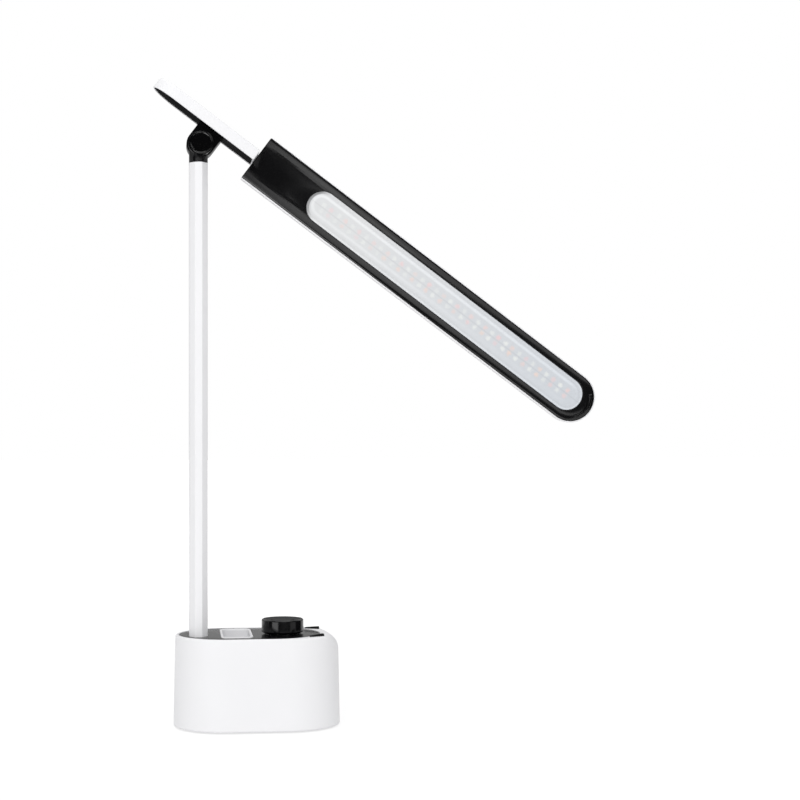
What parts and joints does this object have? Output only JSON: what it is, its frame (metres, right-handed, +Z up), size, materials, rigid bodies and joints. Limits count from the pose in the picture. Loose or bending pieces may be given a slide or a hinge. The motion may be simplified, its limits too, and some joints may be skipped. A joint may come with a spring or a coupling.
{
  "type": "folding desk lamp",
  "caption": "Desk lamp with a weighted base, pen pocket and dimmer knob; an upright post carries a tilting arm and a long flat light head that rolls to face any side.",
  "frame": {"origin": "on the desk, under the middle of the base", "axes": "+X along the base towards the side the light head reaches over, +Y away from the front, +Z up"},
  "size_m": [0.3125, 0.075, 0.4509],
  "materials": {
    "white_shell": "fine satin moulded white",
    "white_liner": "satin moulded white liner",
    "inner_white": "white reflector plastic and board lacquer",
    "gloss_black": "polished black inlay",
    "satin_black": "smooth satin moulded black",
    "hinge_black": "satin black glass-filled nylon",
    "ridge_rubber": "soft black rubber",
    "pad_rubber": "matt dark grey rubber",
    "dome_rubber": "soft grey silicone",
    "cover_plastic": "light grey moulded plastic",
    "tray_plastic": "dark moulded plastic",
    "ballast_steel": "plain rolled steel",
    "screw_steel": "zinc plated",
    "pin_steel": "ground steel",
    "socket_metal": "plain cast or rolled aluminium",
    "bush_brass": "plain turned",
    "washer_fibre": "brown friction fibre",
    "cell_wrap": "blue shrink wrap",
    "board_green": "green lacquer",
    "part_black": "matt component bodies",
    "lead_grey": "matt cable sheath",
    "lens_frost": "frosted translucent lens",
    "led_cool": "white package, cool phosphor",
    "led_warm": "white package, warm phosphor"
  },
  "bodies": {
    "stand": {"base_shell": "white_shell", "bottom_cover": "cover_plastic", "rubber_pad": "pad_rubber", "base_screws": "screw_steel", "ballast_plate": "ballast_steel", "top_plate": "gloss_black", "pen_cup": "white_liner", "rest_ridges": "ridge_rubber", "battery_tray": "tray_plastic", "battery_cells": "cell_wrap", "control_board": "board_green", "board_parts": "part_black", "board_screws": "screw_steel", "dimmer_unit": "socket_metal", "dimmer_nut": "socket_metal", "button_dome": "dome_rubber", "charge_board": "board_green", "charge_inlet": "socket_metal", "post_socket": "socket_metal", "post_screws": "screw_steel", "post_tube": "white_shell", "post_lead": "lead_grey", "hinge_yoke": "hinge_black", "yoke_screw": "screw_steel", "hinge_pin": "pin_steel", "hinge_nut": "screw_steel", "friction_washers": "washer_fibre", "hinge_caps": "hinge_black"},
    "arm": {"arm_shell": "white_shell", "arm_cover": "satin_black", "hinge_lug": "hinge_black", "lug_screws": "screw_steel", "hinge_bush": "bush_brass", "shaft_block": "socket_metal", "block_screws": "screw_steel", "roll_shaft": "pin_steel", "roll_clip": "screw_steel", "arm_lead": "lead_grey"},
    "head": {"head_shell": "white_shell", "head_bezel": "satin_black", "diffuser": "lens_frost", "light_frame": "inner_white", "led_board": "inner_white", "leds_cool": "led_cool", "leds_warm": "led_warm", "heat_spreader": "socket_metal", "roll_socket": "socket_metal", "socket_screws": "screw_steel", "head_lead": "lead_grey"},
    "knob": {"dimmer_knob": "satin_black"},
    "button": {"power_button": "satin_black"}
  },
  "joints": [
    {"name": "arm_tilt", "type": "hinge", "parent": "stand", "child": "arm", "pos_m": [-0.0395, 0, 0.4051], "axis": [0, 1, 0], "range_deg": [-36.8, 41]},
    {"name": "head_roll", "type": "hinge", "parent": "arm", "child": "head", "pos_m": [-0.02965, 0, 0.41827], "axis": [0.8007, 0, -0.599], "range_deg": [0, 180]},
    {"name": "dimmer_turn", "type": "hinge", "parent": "stand", "child": "knob", "pos_m": [0.01785, 0, 0.0644], "axis": [0, 0, 1], "range_deg": [-150, 150]},
    {"name": "button_press", "type": "slide", "parent": "stand", "child": "button", "axis": [0, 0, -1], "range_m": [0, 0.001], "stiffness_N_per_m": 1000, "springref_m": -0.0005, "deforming": ["button_dome"]}
  ]
}
